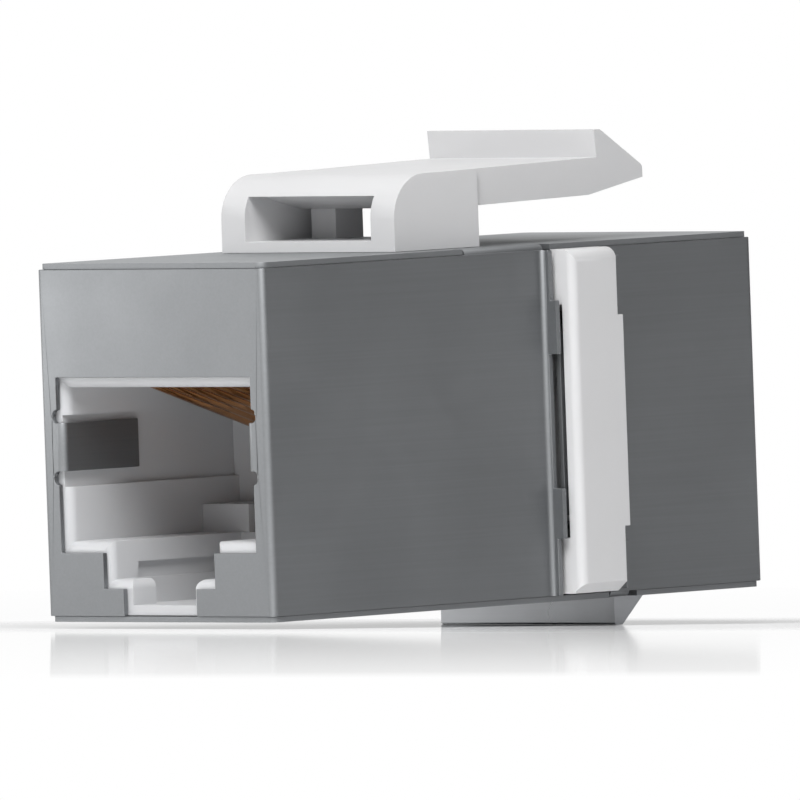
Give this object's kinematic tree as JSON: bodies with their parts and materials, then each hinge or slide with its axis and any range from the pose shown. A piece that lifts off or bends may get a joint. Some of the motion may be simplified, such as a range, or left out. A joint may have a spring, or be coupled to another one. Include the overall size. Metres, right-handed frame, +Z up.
{
  "type": "keystone coupler",
  "caption": "Shielded inline coupler for patch cords: folded metal box with a socket at each end and a white clip that snaps into a panel.",
  "frame": {"origin": "on the body's axis, in the plane where the side stops meet the back of the panel", "axes": "+Y from the near socket to the far socket, the way it goes into the panel; +Z up, the latch arm on top"},
  "size_m": [0.0174, 0.0314, 0.0225],
  "materials": {
    "shell_metal": "brushed nickel-plated sheet",
    "hook_metal": "plain nickel-plated",
    "clip_plastic": "fine satin moulding",
    "housing_plastic": "fine satin moulding",
    "carrier_plastic": "fine satin moulding",
    "contact_metal": "gold-plated wire",
    "board_laminate": "green solder mask"
  },
  "bodies": {
    "body": {"near_shell": "shell_metal", "far_shell": "shell_metal", "top_plate": "shell_metal", "bottom_plate": "shell_metal", "bottom_hook": "hook_metal", "clip_frame": "clip_plastic", "near_jack_housing": "housing_plastic", "far_jack_housing": "housing_plastic", "near_contact_carrier": "carrier_plastic", "far_contact_carrier": "carrier_plastic", "circuit_board": "board_laminate", "near_contact_1": "contact_metal", "near_contact_2": "contact_metal", "near_contact_3": "contact_metal", "near_contact_4": "contact_metal", "near_contact_5": "contact_metal", "near_contact_6": "contact_metal", "near_contact_7": "contact_metal", "near_contact_8": "contact_metal", "far_contact_1": "contact_metal", "far_contact_2": "contact_metal", "far_contact_3": "contact_metal", "far_contact_4": "contact_metal", "far_contact_5": "contact_metal", "far_contact_6": "contact_metal", "far_contact_7": "contact_metal", "far_contact_8": "contact_metal"},
    "latch": {"latch_arm": "clip_plastic"}
  },
  "joints": [
    {"name": "latch_flex", "type": "hinge", "parent": "body", "child": "latch", "pos_m": [0, -0.00592, 0.011], "axis": [-1, 0, 0], "range_deg": [0, 10], "stiffness_Nm_per_rad": 0.4}
  ]
}
